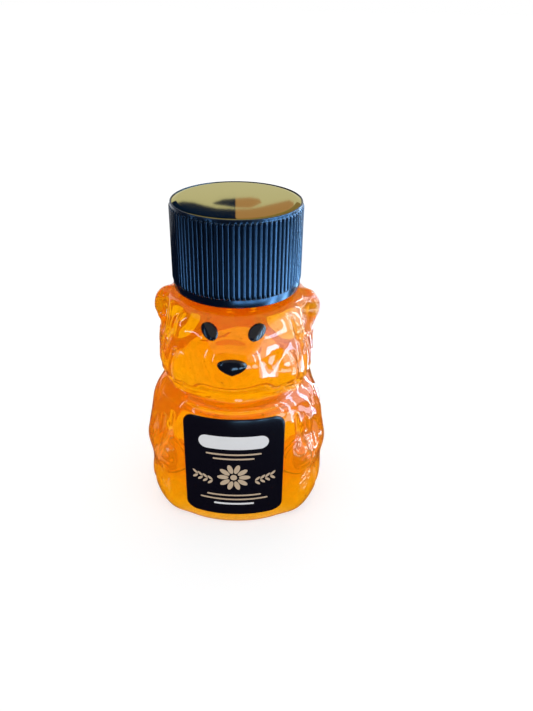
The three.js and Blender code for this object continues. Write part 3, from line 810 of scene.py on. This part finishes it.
def printed(name, shapes, material):
    """One object from many small flat shapes, each a list of places about the label's middle."""
    points, faces = [], []
    for outline in shapes:
        outline = np.asarray(outline)
        centre = outline.mean(axis=0)
        ring_count = 2 + math.ceil(np.ptp(outline, axis=0).max() / PRINT_RING_STEP)
        shares = np.linspace(0.02, 1, ring_count)
        layers = [(PRINT_LIFT, share) for share in shares]
        layers += [(PRINT_LIFT + PRINT_THICKNESS, share) for share in shares[::-1]]
        rings = []
        for lift, share in layers:
            flat = centre + (outline - centre) * share
            places, normals = front_places(LABEL_MIDDLE[0] + flat[:, 0], LABEL_MIDDLE[1] + flat[:, 1])
            rings.append(places + normals * lift)
        shape_points, shape_faces = loft(np.stack(rings))
        offset = sum(len(p) for p in points)
        faces += [[v + offset for v in f] for f in shape_faces]
        points.append(shape_points)
    piece = new_object(name, np.concatenate(points), faces, material)
    return dress(piece, "bottle", "label_film")


def moved(outline, across, up):
    return np.asarray(outline) + (across, up)


def bars(rows):
    """Bars with round ends, across the middle of the label."""
    return [moved(rounded_outline(width, thick, thick / 2), 0, up) for width, thick, up in rows]


def daisy():
    turns = np.arange(DAISY_PETALS) * math.pi / (DAISY_PETALS / 2)
    petals = [petal(2.5, 1.15, turn, 1.15) for turn in turns]
    heart = DAISY_HEART_RADIUS * np.stack([np.cos(around(28)), np.sin(around(28))], axis=-1)
    return [moved(shape, 0, DAISY_HEIGHT) for shape in (*petals, heart)]


def sprig(side):
    """Pairs of leaves that rise a little away from the daisy."""
    leaves = []
    for i in range(LEAF_PAIRS):
        stem = 4.6 + 1.1 * i
        height = DAISY_HEIGHT - 1.2 + 0.32 * i
        for lean in (-LEAF_LEAN, LEAF_LEAN):
            turn = (0 if side > 0 else math.pi) + side * lean
            leaves.append(moved(petal(1.5, 0.6, turn, 0.1, 1.4), side * stem, height))
    return leaves


def label_print():
    """A generic design in the colours of the real one."""
    printed("label_print_white", bars(WHITE_BARS), white_ink)
    printed("label_print_tan", [*bars(TAN_RULES), *daisy(), *sprig(-1), *sprig(1)], tan_ink)


# The screw cap.

RIB_STEPS = 12 if FINE else 6
CAP_RING_COUNT = 90 if FINE else 36
RIB_CREST_SHARE = 0.36
RIB_FADE = 0.4
CAP_TOP_ROLL = 0.15
RECESS_ROLL = 0.06
# The innermost ring of each flat round face.
CENTRE_RADIUS = 0.5
DISC_PLAY = 0.03
DISC_LIFT = 0.02
DISC_THICKNESS = 0.5
SEAL_PLAY = 0.15
SEAL_BEVEL = 0.1


def rib_radii(angles, depth):
    """Radii round the ribbed skirt, with rounded crests and flanks."""
    place = np.abs((angles * RIB_COUNT / (2 * math.pi) + 0.5) % 1 - 0.5)
    flank = np.clip((place - RIB_CREST_SHARE / 2) / (0.5 - RIB_CREST_SHARE / 2), 0, 1)
    return CAP_RADIUS - depth * (1 - np.cos(math.pi * flank)) / 2


def rounded_edge(angles, radius, height, roll, outside=True):
    """Rings that run from a wall up over its rounded top edge, or down from it."""
    turns = np.linspace(0, math.pi / 2, 5)
    side = 1 if outside else -1
    places = [(radius - side * roll * (1 - math.cos(t)), height - roll * (1 - math.sin(t))) for t in turns]
    return flat_rings(angles, places if outside else places[::-1])


def cap_bore(angles):
    """Rings down the bore from its roof, with the thread that runs between the neck's turns."""
    heights = np.linspace(CAP_ROOF, CAP_BOTTOM + 0.1, CAP_RING_COUNT)
    radii = thread_radii(angles, heights, CAP_BORE_RADIUS, NECK_RADIUS + THREAD_PLAY, CAP_WALL,
                         THREAD_MIDDLE - THREAD_PITCH / 2)
    return ring_points(angles, heights, radii)


def cap_outside(angles):
    """Rings up the outside: foot, bare band, ribbed skirt and the run from the ribs to the plain rim."""
    band_top = CAP_BOTTOM + CAP_BAND_HEIGHT
    band_radius = CAP_RADIUS - CAP_BAND_STEP
    foot = flat_rings(angles, [
        (CAP_BORE_RADIUS + 0.15, CAP_BOTTOM),
        (band_radius - 0.2, CAP_BOTTOM),
        (band_radius - 0.06, CAP_BOTTOM + 0.06),
        (band_radius, CAP_BOTTOM + 0.2),
    ])
    band = flat_rings(angles, [(band_radius, z) for z in (band_top - 0.25, band_top)])
    rib_top = CAP_TOP - CAP_RIM_HEIGHT
    rib_end = rib_top - RIB_FADE
    heights = [band_top + 0.12, band_top + 0.3, *np.linspace(band_top + 1, rib_top - 0.6, 6), rib_end]
    ribbed = rib_radii(angles, RIB_DEPTH)
    skirt = ring_points(angles, heights, np.tile(ribbed, (len(heights), 1)))
    skirt[0] = ring_points(angles, heights[:1], ((ribbed + band_radius) / 2)[None])[0]
    ends = []
    for turn in np.linspace(0.15, 1, 6):
        blended = ribbed + (CAP_RIM_RADIUS - ribbed) * (1 - math.cos(turn * math.pi)) / 2
        ends.append(ring_points(angles, [rib_end + RIB_FADE * turn], blended[None])[0])
    return np.concatenate([foot, band, skirt, np.stack(ends)])


def cap_skin():
    """The cap: roof, threaded bore, outside, rounded rim and the recess for the disc."""
    angles = around(RIB_COUNT * RIB_STEPS)
    roof = flat_rings(angles, [(CENTRE_RADIUS, CAP_ROOF)])
    rim = rounded_edge(angles, CAP_RIM_RADIUS, CAP_TOP, CAP_TOP_ROLL)
    recess = rounded_edge(angles, DISC_SEAT_RADIUS, CAP_TOP, RECESS_ROLL, outside=False)
    seat = CAP_TOP - DISC_RECESS_DEPTH
    recess_floor = flat_rings(angles, [(DISC_SEAT_RADIUS, seat), (CENTRE_RADIUS, seat)])
    rings = np.concatenate([roof, cap_bore(angles), cap_outside(angles), rim, recess, recess_floor])
    piece = new_object("cap_skin", *loft(rings), black_plastic, sharp=34)
    return dress(piece, "cap", "black_plastic", "cap_shell")


def turned(name, places, material, body, slot, node, sharp=40):
    """A round piece from radius and height pairs that run from its foot to its top."""
    rings = flat_rings(around(192 if FINE else 96), places)
    return dress(new_object(name, *loft(rings), material, sharp), body, slot, node)


def cap_disc():
    """The bright disc in the cap's recess, which slopes up a little from its edge."""
    radius = DISC_SEAT_RADIUS - DISC_PLAY
    foot = CAP_TOP - DISC_RECESS_DEPTH + DISC_LIFT
    high = foot + DISC_THICKNESS
    places = [(CENTRE_RADIUS, foot), (radius, foot), (radius, foot + 0.36), (radius - 0.08, foot + 0.42),
              (radius - 0.9, high), (radius - 1.1, high), (CENTRE_RADIUS, high)]
    turned("cap_disc", places, gold_foil, "cap", "gold_foil", "cap_top_disc")


def cap_seal():
    """The foam liner under the cap's roof, with bevelled edges."""
    radius = CAP_BORE_RADIUS - SEAL_PLAY
    low, high = LINER_BOTTOM, LINER_BOTTOM + LINER_THICKNESS
    places = [(CENTRE_RADIUS, low), (radius - SEAL_BEVEL, low), (radius, low + SEAL_BEVEL),
              (radius, high - SEAL_BEVEL), (radius - SEAL_BEVEL, high), (CENTRE_RADIUS, high)]
    turned("cap_seal", places, liner_foam, "liner", "liner_foam", "cap_liner")


bottle_skin()
honey()
honey_bubbles()
eyes()
nose()
label()
label_print()
cap_skin()
cap_disc()
cap_seal()


# The stage, the light and the camera.

FLOOR_COLOUR = (0.45, 0.45, 0.45)
# How brightly the floor shows itself to each kind of ray, besides the light that falls on it.
FLOOR_GLOW = {"Camera": 0.6, "Glossy": 0.6, "Transmission": 1.0}
FLOOR_REACH = 3000
ROOM_REACH = 900
ABOVE_TABLE = 0.6
STRIP_START = 60
SKY = (0.34, 0.64, 1.0)
DAYLIGHT = (1.0, 0.9, 0.7)
NAVY = (0.008, 0.012, 0.036)
BROWN = (1.0, 0.58, 0.40)
OLIVE = (0.60, 0.46, 0.28)
BLUE = (0.006, 0.024, 0.15)
CREAM = (0.92, 0.82, 0.70)
# The cards on the far wall that the gold disc mirrors, from how far right and how high their corners are.
FAR_CARDS = (
    ("far_left_wall", BLUE, [(-700, 900), (-700, 347), (-144, 347), (-135, 345), (-118, 346), (-99, 351),
                             (-79, 355), (-49, 356), (-49, 900)]),
    ("far_left_shelf", BLUE, [(-88, 347), (-69, 340), (-49, 338), (-49, 353), (-63, 351), (-79, 349)]),
    ("far_right_wall", BROWN, [(-49, 900), (-49, 356), (-24, 355), (-7, 351), (15, 345), (38, 339),
                               (46, 343), (46, 900)]),
    ("far_right_shelf", BROWN, [(-49, 338), (-24, 336), (-11, 338), (-6, 344), (-24, 353), (-49, 353)]),
    ("far_right_corner", OLIVE, [(50, 900), (50, 345), (110, 352), (200, 358), (700, 360), (700, 900)]),
)
WARM_COLOUR = (1.0, 0.55, 0.18, 1)
WARM_STRENGTH = 1.15
WARM_REACH = 1.3


def seen_directly(nodes, links, strengths):
    """A strength for each kind of ray that is named, and 0 for the rest."""
    path = nodes.new("ShaderNodeLightPath")
    most = None
    for name, strength in strengths.items():
        share = nodes.new("ShaderNodeMath")
        share.operation = "MULTIPLY"
        share.inputs[1].default_value = strength
        links.new(path.outputs[f"Is {name} Ray"], share.inputs[0])
        if most is None:
            most = share.outputs[0]
            continue
        join = nodes.new("ShaderNodeMath")
        join.operation = "MAXIMUM"
        links.new(most, join.inputs[0])
        links.new(share.outputs[0], join.inputs[1])
        most = join.outputs[0]
    return most


def stage():
    """A white world and a white floor that keeps the object's shadow."""
    world = bpy.data.worlds.new("white room")
    bpy.context.scene.world = world
    world.use_nodes = True
    nodes, links = world.node_tree.nodes, world.node_tree.links
    nodes["Background"].inputs["Color"].default_value = (1, 1, 1, 1)
    nodes["Background"].inputs["Strength"].default_value = 1.0
    floor_material = principled("white floor", FLOOR_COLOUR, Roughness=0.9)
    nodes, links = floor_material.node_tree.nodes, floor_material.node_tree.links
    glow = nodes.new("ShaderNodeEmission")
    links.new(seen_directly(nodes, links, FLOOR_GLOW), glow.inputs["Strength"])
    both = nodes.new("ShaderNodeAddShader")
    links.new(nodes["Principled BSDF"].outputs["BSDF"], both.inputs[0])
    links.new(glow.outputs["Emission"], both.inputs[1])
    links.new(both.outputs["Shader"], nodes["Material Output"].inputs["Surface"])
    far = FLOOR_REACH
    corners = [(-far, -far, 0), (far, -far, 0), (far, far, 0), (-far, far, 0)]
    new_object("floor", corners, [(0, 1, 2, 3)], floor_material)


def lit_panel(name, place, size, strength, turn, colour=SKY, seen_by="glossy"):
    """A lit panel for one kind of ray. Places and sizes are in millimetres, strength is its radiance."""
    light = bpy.data.lights.new(name, "AREA")
    light.shape = "RECTANGLE"
    light.size, light.size_y = size[0] * MM, size[1] * MM
    light.energy = strength * math.pi * light.size * light.size_y
    light.color = colour
    lamp = bpy.data.objects.new(name, light)
    lamp.location = Vector(place) * MM
    lamp.rotation_euler = turn
    for kind in ("camera", "diffuse", "glossy", "transmission", "volume_scatter"):
        setattr(lamp, f"visible_{kind}", kind == seen_by)
    bpy.context.scene.collection.objects.link(lamp)


def window_pane(name, degrees, away, size, strength, strip_width=0):
    """An upright pane at an angle round from the right, and the light that it throws on the table."""
    turn = math.radians(degrees)
    out = Vector((math.cos(turn), math.sin(turn), 0))
    place = out * away
    place.z = size[1] / 2
    lit_panel(name, place, size, strength, (math.pi / 2, 0, turn + math.pi / 2))
    if not strip_width:
        return
    strip = out * (away + STRIP_START) / 2
    strip.z = ABOVE_TABLE
    strip_size = (away - STRIP_START, strip_width)
    lit_panel(f"{name} on the table", strip, strip_size, strength, (math.pi, 0, turn))


def table_patches(name, angles, away, size, strength):
    """Bright parts of the table at angles round from the right."""
    for i, degrees in enumerate(angles):
        turn = math.radians(degrees)
        place = (away * math.cos(turn), away * math.sin(turn), ABOVE_TABLE)
        lit_panel(f"{name} {i + 1}", place, size, strength, (math.pi, 0, turn))


def hide_from(piece, *kinds):
    for kind in kinds:
        setattr(piece, f"visible_{kind}", False)


def hang(name, corners, colour):
    """A dark part of the room that only gloss shows, from its corners in millimetres."""
    finish = principled(name, colour, Roughness=1.0, Specular_IOR_Level=0.0)
    card = new_object(name, corners, [range(len(corners))], finish)
    hide_from(card, "camera", "diffuse", "transmission", "volume_scatter", "shadow")


def warm_patch():
    """The warm light that falls through the honey on the floor, which shows only through the bottle."""
    material = bpy.data.materials.new("light through honey")
    material.use_nodes = True
    nodes, links = material.node_tree.nodes, material.node_tree.links
    nodes.remove(nodes["Principled BSDF"])
    glow = nodes.new("ShaderNodeEmission")
    glow.inputs["Color"].default_value = WARM_COLOUR
    glow.inputs["Strength"].default_value = WARM_STRENGTH
    links.new(glow.outputs["Emission"], nodes["Material Output"].inputs["Surface"])
    half_width, half_depth = WARM_REACH * BODY_HALF_WIDTH, WARM_REACH * BODY_FRONT_DEPTH
    edge = [(half_width * math.cos(a), half_depth * math.sin(a), 0.02) for a in around(64)]
    patch = new_object("light_through_honey", edge, [range(len(edge))], material)
    hide_from(patch, "camera", "diffuse", "glossy", "volume_scatter", "shadow")


def room():
    """The room that the gloss shows: a table, a ceiling and walls, open where the windows are."""
    far = ROOM_REACH
    hang("table", [(-far, -far, 0.05), (far, -far, 0.05), (far, 160, 0.05), (-far, 160, 0.05)], NAVY)
    hang("ceiling", [(-far, -far, far), (700, -far, far), (700, far, far), (-far, far, far)], CREAM)
    hang("front_wall", [(-far, -far, 0), (500, -far, 0), (500, -far, far), (-far, -far, far)], NAVY)
    hang("left_wall", [(-far, -far, 0), (-far, 860, 0), (-far, 860, far), (-far, -far, far)], NAVY)
    for name, colour, corners in FAR_CARDS:
        hang(name, [(x, far, z) for x, z in corners], colour)


def lights():
    """Windows, bright parts of the table and a bright wall for gloss, and daylight behind the honey."""
    for i, degrees in enumerate((-36, -21, -6, 10, 28, 48)):
        window_pane(f"right window {i + 1}", degrees, 420, (34, 330), 16.0, 14 if i % 2 else 0)
    table_patches("bright part of the table", (-84, -63, -42, -21, 0), 140, (80, 34), 8.0)
    table_patches("near part of the table", (-22, 6), 78, (34, 30), 4.0)
    for name, side, strength in (("daylight", 1, 2.2), ("left daylight", -1, 2.0)):
        turn = (0, side * math.pi / 2, side * 0.35)
        lit_panel(name, (side * 430, 160, 230), (460, 760), strength, turn, DAYLIGHT, "transmission")
    lit_panel("bright wall", (520, -40, 230), (700, 460), 2.2, (math.pi / 2, 0, math.pi / 2))
    window_pane("left window", 228, 440, (24, 300), 9.0)
    window_pane("far left window", 196, 440, (20, 300), 9.0)


stage()
warm_patch()
room()
lights()

CAMERA_PLACE = (6.59, -125.73, 108.3)
CAMERA_PITCH = 30.26
CAMERA_YAW = 0.02
CAMERA_ROLL = 1.26
CAMERA_LENS = 32.405


def camera():
    """The camera that took the photo, as solved from the ellipses of the cap."""
    pitch, yaw, roll = (math.radians(v) for v in (CAMERA_PITCH, CAMERA_YAW, CAMERA_ROLL))
    forward = Vector((math.sin(yaw) * math.cos(pitch), math.cos(yaw) * math.cos(pitch), -math.sin(pitch)))
    level = Vector((math.cos(yaw), -math.sin(yaw), 0))
    upright = level.cross(forward)
    right = level * math.cos(roll) + upright * math.sin(roll)
    up = upright * math.cos(roll) - level * math.sin(roll)
    turn = Matrix((right, up, -forward)).transposed().to_4x4()
    seer = bpy.data.cameras.new("camera")
    seer.lens = CAMERA_LENS
    seer.clip_start = 0.01
    eye = bpy.data.objects.new("camera", seer)
    eye.matrix_world = Matrix.Translation(Vector(CAMERA_PLACE) * MM) @ turn
    bpy.context.scene.collection.objects.link(eye)
    bpy.context.scene.camera = eye


camera()
bpy.context.scene.view_settings.view_transform = "Standard"
# Light bounces many times inside the honey before it comes out.
cycles = bpy.context.scene.cycles
cycles.max_bounces = 64
cycles.diffuse_bounces = 24
cycles.glossy_bounces = 24
cycles.transmission_bounces = 64
